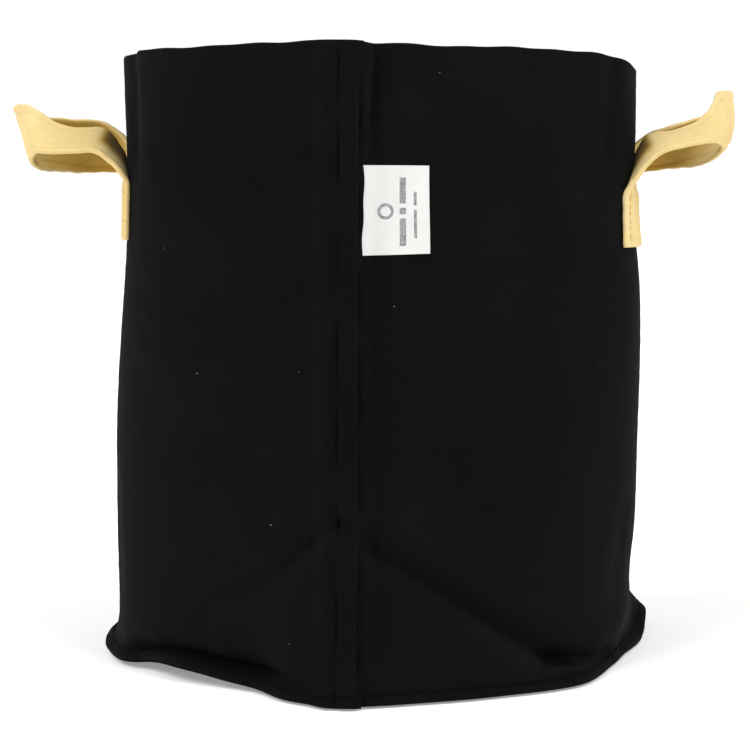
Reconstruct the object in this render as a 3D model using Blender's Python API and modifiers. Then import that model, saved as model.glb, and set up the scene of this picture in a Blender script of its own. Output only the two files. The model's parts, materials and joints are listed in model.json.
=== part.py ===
"""Fabric grow bag: a felt planting bag with a lapped front seam, a sewn-in base and two strap handles.

Metres, +Z up. The origin is on the floor under the middle of the bag. The front, with the seam and
the label, faces -Y, and the handles stand out to -X and +X.
"""

import math

import bmesh
import bpy
import numpy as np
from mathutils import Vector

# Felt body
HEIGHT = 0.3495
FELT = 0.003
GAP = 0.0004
FOOT_GAP = 0.001
LAP = 0.014
LAP_RAMP = 0.014
ROW_OFFSET = 0.0053
BODY_HEIGHT = 0.15
RIM_DIP = 0.006

# Plan outlines of the wall, from the front seam round by the right side, the back and the left side
RIM_OUTLINE = [
    (-0.016, -0.1100), (0.024, -0.0925), (0.064, -0.0735), (0.104, -0.0500), (0.139, -0.022), (0.149, 0.020),
    (0.143, 0.066), (0.105, 0.102), (0.040, 0.119), (-0.036, 0.120), (-0.103, 0.104), (-0.142, 0.062),
    (-0.1465, 0.010), (-0.141, -0.032), (-0.1195, -0.066), (-0.068, -0.0925),
]
BODY_OUTLINE = [
    (-0.017, -0.1105), (0.024, -0.0990), (0.066, -0.0860), (0.109, -0.0660), (0.143, -0.032), (0.153, 0.012),
    (0.147, 0.064), (0.107, 0.101), (0.040, 0.117), (-0.036, 0.118), (-0.104, 0.102), (-0.147, 0.062),
    (-0.152, 0.010), (-0.146, -0.036), (-0.115, -0.076), (-0.065, -0.0970),
]
HEM_OUTLINE = [
    (-0.017, -0.1130), (0.024, -0.1065), (0.064, -0.0955), (0.104, -0.0740), (0.131, -0.038), (0.149, 0.014),
    (0.146, 0.062), (0.106, 0.101), (0.040, 0.115), (-0.036, 0.116), (-0.106, 0.101), (-0.149, 0.062),
    (-0.154, 0.012), (-0.139, -0.030), (-0.105, -0.056), (-0.063, -0.0860),
]

# Foot: the wall's hem and the base's edge, turned out together
FLANGE = 0.009
FLANGE_DROP_FRONT = 80.0
FLANGE_DROP_SIDE = 38.0
FLANGE_DROP_BACK = 62.0
CREASE_TOP = 0.10
CREASE_LOW = 0.035
CREASE_REACH = 0.14

# Handles: one strap each, sewn on at both ends
STRAP_WIDTH = 0.038
STRAP_THICK = 0.003
STRAP_FRONT_Y = -0.022
STRAP_REAR_Y = 0.068
TAB_LENGTH = 0.0425
TAB_LEAVES_WALL = 0.291
HINGE_X = 0.1575
HINGE_Z = 0.306
HINGE_CLEARANCE = 0.0035
TAB_GAP = 0.0006
HANDLES = {
    "left": {"x_sign": -1, "tab_low": 0.2455, "reach": 0.0505, "tip_rise": -0.001},
    "right": {"x_sign": 1, "tab_low": 0.2415, "reach": 0.0475, "tip_rise": 0.005},
}

# Label
LABEL_WIDTH = 0.038
LABEL_LOW = 0.2394
LABEL_HIGH = 0.2862
LABEL_THICK = 0.0005

# Sewing thread
THREAD_RADIUS = 0.00045
THREAD_GAP = 0.0004
STITCH_INSET = 0.004

SAMPLES = 1440
LEVELS = (RIM_OUTLINE, BODY_OUTLINE, HEM_OUTLINE)

MATERIALS = {
    "felt_black": ((0.012, 0.012, 0.012), 0.95),
    "strap_tan": ((0.83, 0.62, 0.33), 0.9),
    "label_white": ((0.86, 0.86, 0.85), 0.5),
    "thread_black": ((0.01, 0.01, 0.01), 0.6),
    "thread_tan": ((0.72, 0.52, 0.26), 0.6),
}


def smooth(t):
    """Rises from 0 to 1 with level ends."""
    t = min(1.0, max(0.0, t))
    return t * t * (3 - 2 * t)


def bump(u, centre, width):
    """A bell of height 1 at centre, on a loop of length 1."""
    away = (u - centre + 0.5) % 1.0 - 0.5
    return math.exp(-((away / width) ** 2))


def spline(points, steps, closed):
    """Points on a Catmull-Rom curve through the given ones, evenly spaced in their order."""
    points = np.array(points, float)
    if closed:
        points = np.vstack([points[-1], points, points[0], points[1]])
    else:
        points = np.vstack([2 * points[0] - points[1], points, 2 * points[-1] - points[-2]])
    spans = len(points) - 3
    curve = []
    for i in range(steps + (0 if closed else 1)):
        t = i * spans / steps
        k = min(int(t), spans - 1)
        t -= k
        a, b, c, d = points[k:k + 4]
        curve.append(0.5 * (2 * b + (c - a) * t + (2 * a - 5 * b + 4 * c - d) * t * t
                            + (3 * b - a - 3 * c + d) * t ** 3))
    return np.array(curve)


def by_length(points, closed):
    """The curve's points, the share of its length at each, and its length."""
    if closed:
        points = np.vstack([points, points[0]])
    steps = np.linalg.norm(np.diff(points, axis=0), axis=1)
    along = np.concatenate([[0.0], np.cumsum(steps)])
    return points, along / along[-1], along[-1]


OUTLINES = [by_length(spline(points, SAMPLES, True), True) for points in LEVELS]
GIRTH = OUTLINES[1][2]


def level_point(level, u):
    """Where share u of the way round the loop lies on one of the plan outlines."""
    points, share, _ = OUTLINES[level]
    u = u % 1.0
    return np.array([np.interp(u, share, points[:, 0]), np.interp(u, share, points[:, 1])])


def crease_height(u):
    """Height of the soft fold above the foot: an inverted V under the front seam, low elsewhere."""
    away = abs((u + 0.5) % 1.0 - 0.5) * GIRTH
    return CREASE_LOW + (CREASE_TOP - CREASE_LOW) * max(0.0, 1 - away / CREASE_REACH)


def wall_plan(u, z):
    """The middle of the wall's felt in plan at height z."""
    rim, body, hem = (level_point(level, u) for level in range(3))
    upper = smooth((z - BODY_HEIGHT) / (HEIGHT - BODY_HEIGHT))
    lower = 1 - smooth(z / crease_height(u))
    return body + upper * (rim - body) + lower * (hem - body)


def plan_normal(u, z):
    """The wall's outward direction in plan."""
    step = 0.002
    along = wall_plan(u + step, z) - wall_plan(u - step, z)
    normal = np.array([along[1], -along[0]])
    return normal / np.linalg.norm(normal)


def lap_offset(s):
    """How far the wall stands out where its far end lies over its near end. s is metres from the seam."""
    start = GIRTH - LAP / 2 - LAP_RAMP
    return (FELT + GAP) * smooth((s - start) / (LAP_RAMP - 0.002))


def wall_point(s, z, out=0.0):
    """A point at s metres round from the seam and height z, out metres outward from the felt's middle."""
    u = s / GIRTH
    place = wall_plan(u, z) + plan_normal(u, z) * out
    return Vector((place[0], place[1], z))


def foot_drop(u):
    """How steeply the foot's flange points down, in radians: almost straight down at the front."""
    sides = bump(u, 0.27, 0.10) + bump(u, 0.76, 0.12)
    back = bump(u, 0.5, 0.16)
    degrees = FLANGE_DROP_FRONT
    degrees += (FLANGE_DROP_SIDE - FLANGE_DROP_FRONT) * min(1.0, sides)
    degrees += (FLANGE_DROP_BACK - FLANGE_DROP_FRONT) * back * (1 - min(1.0, sides))
    return math.radians(degrees)


def seam_height(u):
    """Height at which the wall and the base are sewn together, so that the foot stands on the floor."""
    drop = foot_drop(u)
    return FLANGE * math.sin(drop) + (FELT + FOOT_GAP / 2) * math.cos(drop)


def foot_point(s, share, out, lift=0.0):
    """A point on the flange: share of its width from the seam line, out from the parting face."""
    u = s / GIRTH
    z = seam_height(u)
    drop = foot_drop(u)
    normal = plan_normal(u, z)
    outward = FLANGE * share * math.cos(drop) + out * math.sin(drop) + lift
    place = wall_plan(u, z) + normal * outward
    return Vector((place[0], place[1], z - FLANGE * share * math.sin(drop) + out * math.cos(drop)))


def rim_height(u):
    """The cut edge of the rim, a little lower at the right side."""
    return HEIGHT - RIM_DIP * bump(u, 0.25, 0.06)


def make_material(name):
    """A Principled material in the part's colour."""
    colour, roughness = MATERIALS[name]
    material = bpy.data.materials.new(name)
    material.use_nodes = True
    shader = material.node_tree.nodes["Principled BSDF"]
    shader.inputs["Base Color"].default_value = (*colour, 1.0)
    shader.inputs["Roughness"].default_value = roughness
    shader.inputs["Metallic"].default_value = 0.0
    material.diffuse_color = (*colour, 1.0)
    return material


def add_object(name, data, material, origin=(0, 0, 0)):
    """Links a new object and puts its origin at the given point without moving its shape."""
    thing = bpy.data.objects.new(name, data)
    bpy.data.collections["fabric_grow_bag"].objects.link(thing)
    thing.location = origin
    data.materials.append(bpy.data.materials[material])
    return thing


def surface(name, columns, rows, place, material, thickness, closed=False, origin=(0, 0, 0)):
    """A sheet of felt: a grid whose vertex (i, j) stands at place(i, j), thickened evenly both ways."""
    grid = bmesh.new()
    bmesh.ops.create_grid(grid, x_segments=columns, y_segments=rows, size=0.5)
    shift = Vector(origin)
    for vertex in grid.verts:
        i = round((vertex.co.x + 0.5) * columns)
        j = round((vertex.co.y + 0.5) * rows)
        vertex.co = place(i, j) - shift
    if closed:
        bmesh.ops.remove_doubles(grid, verts=grid.verts, dist=1e-6)
    mesh = bpy.data.meshes.new(name)
    grid.to_mesh(mesh)
    grid.free()
    mesh.shade_smooth()
    thing = add_object(name, mesh, material, origin)
    felt = thing.modifiers.new("thickness", "SOLIDIFY")
    felt.thickness = thickness
    felt.offset = 0.0
    felt.use_even_offset = True
    return thing


def thread(name, points, material, closed=False):
    """A run of sewing thread as a thin round bar along the points."""
    curve = bpy.data.curves.new(name, "CURVE")
    curve.dimensions = "3D"
    curve.bevel_depth = THREAD_RADIUS
    curve.bevel_resolution = 1
    curve.use_fill_caps = True
    line = curve.splines.new("POLY")
    line.points.add(len(points) - 1)
    for point, place in zip(line.points, points):
        point.co = (*place, 1.0)
    line.use_cyclic_u = closed
    return add_object(name, curve, material)


def lap_columns(count):
    """Distances from the seam at which the wall has a column: fine in the lap, even round the bag."""
    half = LAP / 2
    near = [-half, -half / 2, 0.0, half / 2, half]
    far = [GIRTH - LAP_RAMP - half, *(GIRTH + s for s in near)]
    first, last = LAP_RAMP + half, far[0]
    middle = [first + (last - first) * k / count for k in range(count)]
    return near + middle + far


def make_wall():
    """The wrap-around panel. Its last columns lie over its first ones, with the hem turned out below."""
    columns = lap_columns(66)
    shares = [0.04, 0.08, 0.14, 0.22, 0.32, 0.44, 0.56, 0.68, 0.80, 0.91, 1.0]
    hem = [1.0, 0.5, 0.0]

    def place(i, j):
        s = columns[i]
        out = lap_offset(s)
        if j < len(hem):
            return foot_point(s, hem[j], (FELT + FOOT_GAP) / 2, out)
        z = rim_height(s / GIRTH) * shares[j - len(hem)]
        return wall_point(s, z, out)

    rows = len(hem) + len(shares) - 1
    surface("wall_panel", len(columns) - 1, rows, place, "felt_black", FELT)


def make_base():
    """The round base: flat on the floor, rising to the seam and turned out under the wall's hem."""
    count = 72
    below = -(FELT + FOOT_GAP) / 2
    centre = Vector((0, 0, FELT / 2))

    def place(i, j):
        s = GIRTH * (i % count) / count
        u = s / GIRTH
        edge = foot_point(s, 0.0, below)
        flat = Vector((edge.x, edge.y, FELT / 2))
        inward = (centre - flat).normalized()
        rise = edge.z - FELT / 2
        rings = [
            centre,
            centre.lerp(flat, 0.5),
            flat + inward * 0.026,
            flat + inward * 0.016 + Vector((0, 0, rise * 0.45)),
            flat + inward * 0.008 + Vector((0, 0, rise * 0.88)),
            flat + inward * 0.0022 + Vector((0, 0, seam_height(u) - FELT / 2 - 0.0012)),
            foot_point(s, 0.25, below),
            foot_point(s, 0.62, below),
            foot_point(s, 1.0, below),
        ]
        return rings[j]

    surface("base_disc", count, 8, place, "felt_black", FELT, closed=True)


def make_seam_threads():
    """Two rows of stitching through the front lap, and one through the foot's flange."""
    outer = FELT + GAP + FELT / 2 + THREAD_GAP + THREAD_RADIUS
    inner = -(FELT / 2 + THREAD_GAP + THREAD_RADIUS)
    heights = [0.016 + (HEIGHT - 0.020) * k / 16 for k in range(17)]
    for side, s in (("left", -ROW_OFFSET), ("right", ROW_OFFSET)):
        for kind, out in (("topstitch", outer), ("bobbin", inner)):
            points = [wall_point(s, z, out) for z in heights]
            thread(f"front_seam_{kind}_{side}", points, "thread_black")
    count = 96
    clear = FELT + FOOT_GAP / 2 + THREAD_GAP + THREAD_RADIUS
    above, below = [], []
    for k in range(count):
        s = GIRTH * k / count
        lift = lap_foot_lift(s)
        above.append(foot_point(s, 0.35, clear, lift))
        below.append(foot_point(s, 0.55, -clear))
    thread("base_seam_topstitch", above, "thread_black", closed=True)
    thread("base_seam_bobbin", below, "thread_black", closed=True)


def lap_foot_lift(s):
    """How much further out the foot's stitching runs where it crosses the lap."""
    away = abs((s + GIRTH / 2) % GIRTH - GIRTH / 2)
    return (FELT + GAP) * (1 - smooth((away - LAP / 2 - 0.010) / LAP_RAMP))


def side_s(x_sign, y, z):
    """The distance round the bag at which the side wall at height z passes through depth y."""
    best, found = 9.0, 0.0
    for k in range(SAMPLES):
        place = wall_plan(k / SAMPLES, z)
        if place[0] * x_sign > 0.1 and abs(place[1] - y) < best:
            best, found = abs(place[1] - y), GIRTH * k / SAMPLES
    return found


def tab_point(spec, y, across, z, out):
    """A point on a strap's sewn end: across is along the wall from the strap's middle line."""
    s = side_s(spec["x_sign"], y, spec["tab_low"] + TAB_LENGTH / 2) + across
    place = wall_point(s, z, FELT / 2 + TAB_GAP + STRAP_THICK / 2 + out)
    leave = smooth((z - TAB_LEAVES_WALL) / (HINGE_Z - TAB_LEAVES_WALL))
    square = Vector((spec["x_sign"] * HINGE_X, y + spec["x_sign"] * across, z))
    return place.lerp(square, leave)


def make_tab(side, spec, end, y):
    """The sewn end of a strap: flat on the wall, then leaning out to where the loop starts."""
    low, top = spec["tab_low"], HINGE_Z - HINGE_CLEARANCE
    heights = [low, low + TAB_LENGTH / 2, low + TAB_LENGTH, TAB_LEAVES_WALL, 0.295, 0.299, top]
    across = [STRAP_WIDTH * (k / 4 - 0.5) for k in range(5)]

    def place(i, j):
        return tab_point(spec, y, across[i], heights[j], 0.0)

    name = f"handle_{side}_tab_{end}"
    surface(name, len(across) - 1, len(heights) - 1, place, "strap_tan", STRAP_THICK)


def make_tab_stitching(side, spec, end, y):
    """A box of stitching round the sewn end, outside on the strap and inside on the wall."""
    half = STRAP_WIDTH / 2 - STITCH_INSET
    low, high = spec["tab_low"] + STITCH_INSET, spec["tab_low"] + TAB_LENGTH
    corners = [(half, low), (half, high), (-half, high), (-half, low)]
    route = []
    for start, stop in zip(corners, corners[1:] + corners[:1]):
        for k in range(5):
            route.append((start[0] + (stop[0] - start[0]) * k / 5, start[1] + (stop[1] - start[1]) * k / 5))
    outer = STRAP_THICK / 2 + THREAD_GAP + THREAD_RADIUS
    on_strap = [tab_point(spec, y, across, z, outer) for across, z in route]
    thread(f"handle_{side}_stitch_{end}", on_strap, "thread_tan", closed=True)
    inner = -(FELT / 2 + THREAD_GAP + THREAD_RADIUS)
    s = side_s(spec["x_sign"], y, spec["tab_low"] + TAB_LENGTH / 2)
    on_wall = [wall_point(s + across, z, inner) for across, z in route]
    thread(f"handle_{side}_bobbin_{end}", on_wall, "thread_tan", closed=True)


def loop_stations(reach, tip_rise):
    """The loop's middle line from the front hinge point to the rear one, with the strap's width direction.

    Each station is (out from the hinge, y, up from the hinge) and (out, y, up) of the upper edge's lean.
    The strap turns on edge as it goes out, so that its outer end stands upright.
    """
    front, rear = STRAP_FRONT_Y, STRAP_REAR_Y
    middle = (front + rear) / 2
    stations = [
        ((0.0, front, 0.0), (0.0, 1.0, 0.0)),
        ((0.009, front, 0.001), (-0.10, 0.95, 0.28)),
        ((0.24 * reach + 0.012, front, -0.003), (0.0, 0.90, 0.42)),
        ((0.86 * reach, front + 0.009, -0.001 + 0.6 * tip_rise), (0.06, 0.78, 0.62)),
        ((reach, middle - 0.014, tip_rise), (0.25, 0.15, 0.96)),
        ((0.90 * reach, rear - 0.018, -0.002 + 0.7 * tip_rise), (0.12, -0.25, 0.96)),
        ((0.24 * reach + 0.012, rear - 0.002, -0.005), (0.0, -0.45, 0.90)),
        ((0.009, rear, -0.001), (-0.10, -0.88, 0.46)),
        ((0.0, rear, 0.0), (0.0, -1.0, 0.0)),
    ]
    return [place for place, _ in stations], [lean for _, lean in stations]


def make_loop(side, spec):
    """The free part of a handle, one twisted strap that turns on the line through both sewn ends' tops."""
    steps = 32
    places, leans = loop_stations(spec["reach"], spec["tip_rise"])
    middle_line = spline(places, steps, False)
    upper = spline(leans, steps, False)
    across = [STRAP_WIDTH * (k / 3 - 0.5) for k in range(4)]
    x_sign = spec["x_sign"]
    hinge = (x_sign * HINGE_X, (STRAP_FRONT_Y + STRAP_REAR_Y) / 2, HINGE_Z)

    def place(i, j):
        point = middle_line[j] + across[i] * upper[j] / np.linalg.norm(upper[j])
        return Vector((x_sign * (HINGE_X + point[0]), point[1], HINGE_Z + point[2]))

    surface(f"handle_{side}_loop", 3, steps, place, "strap_tan", STRAP_THICK, origin=hinge)


def make_handles():
    """Both handles. The right one stands up a little more than the left one."""
    for side, spec in HANDLES.items():
        for end, y in (("front", STRAP_FRONT_Y), ("rear", STRAP_REAR_Y)):
            make_tab(side, spec, end, y)
            make_tab_stitching(side, spec, end, y)
        make_loop(side, spec)


def make_label():
    """The sewn-in label, flat against the wall, its left edge at the raw edge of the front lap."""
    out = FELT / 2 + GAP + LABEL_THICK / 2
    start = LAP / 2 + GAP
    hinge = wall_point(start, (LABEL_LOW + LABEL_HIGH) / 2, out)
    columns, rows = 6, 4

    def place(i, j):
        z = LABEL_LOW + (LABEL_HIGH - LABEL_LOW) * j / rows
        return wall_point(start + LABEL_WIDTH * i / columns, z, out)

    surface("label", columns, rows, place, "label_white", LABEL_THICK, origin=hinge)


def main():
    for thing in list(bpy.data.objects):
        bpy.data.objects.remove(thing, do_unlink=True)
    collection = bpy.data.collections.new("fabric_grow_bag")
    bpy.context.scene.collection.children.link(collection)
    for name in MATERIALS:
        make_material(name)
    make_wall()
    make_base()
    make_seam_threads()
    make_handles()
    make_label()


main()
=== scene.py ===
"""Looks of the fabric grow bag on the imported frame: felt wall and base, seams, handles and a label.

Metres, +Z up; the front, with the seam and the label, faces -Y. Distances called s run round the bag
from the front seam towards +X. The shapes repeat the outlines and the joint places of the frame.
"""

import math

import bpy
import numpy as np
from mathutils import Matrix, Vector, noise
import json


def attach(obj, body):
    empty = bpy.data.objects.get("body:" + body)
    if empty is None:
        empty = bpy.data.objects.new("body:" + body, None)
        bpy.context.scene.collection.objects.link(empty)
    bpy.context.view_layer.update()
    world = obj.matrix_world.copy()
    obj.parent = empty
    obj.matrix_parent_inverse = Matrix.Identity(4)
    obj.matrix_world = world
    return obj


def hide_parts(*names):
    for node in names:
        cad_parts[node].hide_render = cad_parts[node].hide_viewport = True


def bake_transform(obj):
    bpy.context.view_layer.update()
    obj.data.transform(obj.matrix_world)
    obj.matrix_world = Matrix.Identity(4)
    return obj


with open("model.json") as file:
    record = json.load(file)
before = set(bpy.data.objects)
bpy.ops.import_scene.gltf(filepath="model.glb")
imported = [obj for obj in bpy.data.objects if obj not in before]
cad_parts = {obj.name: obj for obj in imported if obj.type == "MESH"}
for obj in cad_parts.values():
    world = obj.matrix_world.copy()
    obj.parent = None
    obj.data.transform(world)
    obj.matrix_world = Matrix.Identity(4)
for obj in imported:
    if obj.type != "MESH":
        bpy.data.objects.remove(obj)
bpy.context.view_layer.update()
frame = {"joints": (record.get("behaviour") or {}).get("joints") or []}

# ---- sizes of the felt body
HEIGHT = 0.3495  # to the rim
FELT = 0.003  # thickness
GAP = 0.0004  # between the two layers of the front lap
FOOT_GAP = -0.0004  # the same in the flange of the foot, where the layers are pressed together
LAP = 0.014  # width of the front lap
LAP_RAMP = 0.014  # run over which the outer end climbs onto the inner one
ROW_OFFSET = 0.0053  # from the middle of the lap to each row of stitches
BODY_HEIGHT = 0.15  # from here up the body's outline turns into the rim's
RIM_DIP = 0.006  # how much lower the rim is at the right side
WALL_RUN = 0.34  # cloth from the seam line of the foot to the rim
SAMPLES = 1440  # points on each outline
TENTHS = 10000  # tenths of a millimetre in a metre
FLOOR_CLEAR = 0.0003  # under the flange's tip

# Outlines seen from above, as (x, y) in tenths of a millimetre
RIM_OUTLINE = [
    (-160, -1100), (240, -925), (640, -735), (1040, -500), (1390, -220), (1490, 200), (1430, 660),
    (1050, 1020), (400, 1190), (-360, 1200), (-1030, 1040), (-1420, 620), (-1465, 100),
    (-1410, -320), (-1195, -660), (-680, -925),
]
BODY_OUTLINE = [
    (-170, -1105), (240, -990), (660, -860), (1090, -660), (1430, -320), (1530, 120), (1470, 640),
    (1070, 1010), (400, 1170), (-360, 1180), (-1040, 1020), (-1470, 620), (-1535, 100),
    (-1440, -360), (-1100, -725), (-630, -950),
]
HEM_OUTLINE = [
    (-180, -1158), (240, -1082), (640, -962), (1085, -752), (1292, -388), (1390, -110), (1512, 200),
    (1590, 530), (1575, 800), (1370, 990), (850, 1090), (250, 1160), (-360, 1160), (-1060, 1010),
    (-1500, 640), (-1580, 180), (-1470, -250), (-1310, -385), (-1126, -590), (-903, -722),
    (-660, -858), (-470, -1060),
]

FLANGE = 0.009  # the seam allowance turned out at the foot
FLANGE_DROP_FRONT = 80.0  # how many degrees it points down
FLANGE_DROP_SIDES = (36.0, 16.0, 62.0)  # the same at the left, at the right and at the back
# Bells on the loop of length 1 (how much, place, half width): curls off the floor and trimmed notches
CURLS = [(0.0065, 0.872, 0.04), (0.0075, 0.312, 0.03)]
NOTCHES = [(-0.003, 0.134, 0.008), (0.0012, 0.155, 0.012)]
CORNER = 0.0045  # half the cloth that rounds the turn from the wall to the flange

# The fold above the foot is an inverted V under the front seam; its arms are (slope, lowest height).
CREASE_TOP = 0.106
CREASE_START = 0.008
CREASE_RIGHT_DROP = 0.0135  # how much lower than the left arm the right one starts
CREASE_RIGHT = (0.66, 0.018)
CREASE_LEFT = (0.7, 0.024)
CREASE_BACK = 0.021

# Tight tucks, furrows and the painted shade in them along the foot: place from the seam, half width
# and run-out
TUCK_DEPTH = 0.4
TUCK_LEFT = (-0.12, 0.095, 0.06)
TUCK_RIGHT = (0.155, 0.045, 0.03)
FURROW_LEFT = (-0.086, 0.074, 0.04)
FURROW_RIGHT = (0.146, 0.046, 0.026)
SHADE_LEFT = (-0.088, 0.072, 0.04)
FURROW_DEPTH = 0.0056
FURROW_HEIGHT = 0.0028
FURROW_SPREAD = 0.0068

# Upright dents: place from the seam, from and to height, depth inward, half width
DENTS = [
    (-0.139, 0.262, 0.35, 0.0032, 0.0085),
    (0.161, 0.262, 0.35, 0.0016, 0.007),
    (-0.163, 0.02, 0.13, 0.0016, 0.009),
    (0.166, 0.015, 0.105, 0.001, 0.008),
    (-0.25, 0.11, 0.35, 0.003, 0.024),
    (0.262, 0.12, 0.35, 0.0034, 0.02),
    (0.39, 0.02, 0.17, 0.0026, 0.016),
    (0.0085, 0.275, 0.35, 0.0028, 0.005),
    (-0.33, 0.015, 0.15, 0.003, 0.018),
]
# Broad shaping: place from the seam, half width, height, half height, outward
SHAPES = [
    (-0.205, 0.08, 0.24, 0.08, -0.0027),
    (0.21, 0.08, 0.215, 0.11, -0.0014),
    (0.2, 0.06, 0.044, 0.028, -0.004),
    (0.212, 0.022, 0.264, 0.03, -0.0038),
    (0.168, 0.012, 0.274, 0.012, 0.0016),
    (0.13, 0.014, 0.262, 0.04, 0.0014),
    (-0.18, 0.018, 0.262, 0.04, -0.002),
    (0.0135, 0.0065, 0.18, 0.3, -0.003),
]
# Fold lines: start, end (distance from the seam, height), depth, width, swelling below
CREASES = [
    ((-0.002, 0.0945), (0.122, 0.0105), 0.0094, 0.0082, 0.0006),
    ((-0.041, 0.0645), (-0.001, 0.104), 0.0046, 0.0058, 0.0008),
    ((-0.095, 0.038), (-0.041, 0.0645), 0.0028, 0.0075, 0.001),
    ((-0.046, 0.115), (-0.006, 0.114), 0.001, 0.0028, 0.0),
]

# ---- sizes of the handles
STRAP_WIDTH = 0.038
STRAP_THICK = 0.003
STRAP_GAP = 0.0003  # between the strap's sewn end and the wall
STRAP_REAR_Y = 0.068  # depth of the rear end's middle
HINGE_X = 0.1575
HINGE_Z = 0.306
TAB_ROWS = (0.0, 0.01, 0.02, 0.029)  # heights of the stations on a sewn end, above its cut end
STRAP_PARTS = ("loop", "tab_front", "tab_rear")
TAB_MIDDLE = 0.02  # height above the cut end at which the sewn end is centred on the wall
STITCH_INSET = 0.0045
BOX_HEIGHT = 0.024

# Each station of the free strap, from the front end to the rear end: its lower and its upper edge, as
# out from the hinge line, y, and up from the hinge line, in tenths of a millimetre
LEFT_LOOP = [
    ((-150, -405, -262), (-102, -35, -175)), ((-108, -405, -205), (-88, -40, -110)),
    ((-52, -402, -157), (-56, -45, -55)), ((-8, -400, -126), (-22, -50, -6)),
    ((28, -397, -114), (15, -50, 22)), ((110, -395, -113), (110, -50, 26)),
    ((200, -390, -113), (200, -45, 28)), ((280, -375, -113), (290, -30, 56)),
    ((362, -310, -117), (400, 0, 132)), ((412, -180, -150), (472, 50, 168)),
    ((424, 0, -186), (550, 130, 178)), ((415, 190, -204), (582, 250, 165)),
    ((380, 390, -212), (520, 370, 140)), ((310, 530, -214), (400, 460, 117)),
    ((220, 640, -214), (265, 530, 110)), ((125, 695, -212), (140, 550, 104)),
    ((35, 745, -205), (52, 530, 55)), ((-60, 795, -203), (-18, 505, -2)),
    ((-155, 830, -232), (-72, 497, -100)),
]
RIGHT_LOOP = [
    ((-176, -385, -302), (-106, -20, -250)), ((-140, -388, -256), (-104, -30, -172)),
    ((-105, -390, -208), (-90, -45, -112)), ((-60, -392, -155), (-62, -50, -56)),
    ((-18, -396, -122), (-30, -55, -12)), ((35, -400, -96), (15, -55, 2)),
    ((110, -400, -80), (82, -55, 8)), ((190, -400, -66), (165, -52, 29)),
    ((265, -380, -58), (245, -40, 60)), ((330, -300, -66), (310, -5, 112)),
    ((372, -170, -88), (355, 60, 172)), ((384, -10, -118), (394, 115, 245)),
    ((372, 170, -148), (508, 240, 256)), ((335, 340, -170), (495, 350, 212)),
    ((275, 500, -184), (395, 420, 130)), ((200, 600, -193), (280, 440, 96)),
    ((125, 690, -198), (165, 440, 60)), ((45, 760, -203), (60, 460, 22)),
    ((-30, 810, -206), (-12, 475, -36)), ((-130, 835, -245), (-75, 492, -125)),
]
# low is the height of the cut ends, front_y the depth of the front end's middle, bow how far the loop
# bulges between its edges, lit the place (from mid loop) and strength of a painted light patch inside
# it, which takes back the loop's painted shade.
HANDLES = {
    "left": {"sign": -1, "low": 0.2455, "front_y": -0.022, "loop": LEFT_LOOP, "bow": 0.002,
             "lit": (-0.012, 0.6)},
    "right": {"sign": 1, "low": 0.2415, "front_y": -0.0195, "loop": RIGHT_LOOP, "bow": 0.009,
              "lit": (0.008, 0.95)},
}

# ---- label and thread
LABEL_WIDTH = 0.038
LABEL_LOW = 0.2394
LABEL_HIGH = 0.2862
LABEL_THICK = 0.0004
LABEL_TUCK = 0.003  # caught under the lap
# Print on the label, from its lower seam corner: bars (x from, x to, y from, y to) and a ring
LABEL_BARS = [
    (0.02, 0.0238, 0.0045, 0.019), (0.02, 0.0238, 0.0212, 0.0246),
    (0.02, 0.0238, 0.0268, 0.0405), (0.0285, 0.0303, 0.0085, 0.0235),
    (0.0285, 0.0303, 0.0258, 0.033),
]
RING_PLACE = (0.0125, 0.0228)
RING_RADII = (0.0026, 0.0042)
THREAD = 0.00042  # radius
STITCH = 0.004  # from needle hole to needle hole
STITCH_SHARE = 0.8  # of that length which the thread shows

# ---- loose fibres and lint
RIM_FIBRES = 2600
FACE_FIBRES = 9000
# Specks of lint: place from the seam, height
LINT_PLACES = [
    (0.052, 0.335), (0.024, 0.213), (-0.088, 0.175), (-0.027, 0.178), (-0.111, 0.242),
    (-0.044, 0.095), (-0.032, 0.032), (0.15, 0.178), (0.235, 0.12), (0.301, 0.252),
    (0.402, 0.081), (-0.24, 0.145), (-0.335, 0.268), (-0.395, 0.104),
]

# ---- camera and light
CAMERA_PLACE = (-0.003, -1.0, 0.2698)
CAMERA_DIP = 5.95  # degrees below level
CAMERA_LENS = 81.98
FLOOR_GLOW = 0.26
# Suns: name, degrees to the right of the front, degrees above the horizon, strength, softness
SUNS = [("key", -60, 52, 1.6, 35), ("fill", 60, 52, 1.5, 35)]
# Brightness of the studio's walls and of its ceiling, and the heights of the change between them
WALL_LIGHT, CEILING_LIGHT = 1.05, 0.4
WALL_TOP, CEILING_LOW = 0.15, 0.4


# ---- shape of the wall
def smooth(t):
    """Rises from 0 to 1 with level ends."""
    t = np.clip(t, 0.0, 1.0)
    return t * t * (3 - 2 * t)


def bell(distance, width):
    return np.exp(-((distance / width) ** 2))


def loop_bell(u, centre, width):
    """A bell on a loop of length 1."""
    return bell((u - centre + 0.5) % 1.0 - 0.5, width)


def window(place, centre, half, ramp):
    """1 round the centre, with a soft run to 0 that ends at half."""
    return smooth((half - np.abs(place - centre)) / ramp)


def between(place, low, high, ramp):
    """1 between low and high, with a soft run up from low and down to high."""
    return smooth((place - low) / ramp) * smooth((high - place) / ramp)


def unit(vectors):
    return vectors / np.linalg.norm(vectors, axis=-1, keepdims=True)


def lifted(plan, height):
    """Points or vectors in plan, with their heights as the third value."""
    return np.concatenate([plan, height[..., None]], -1)


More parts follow.
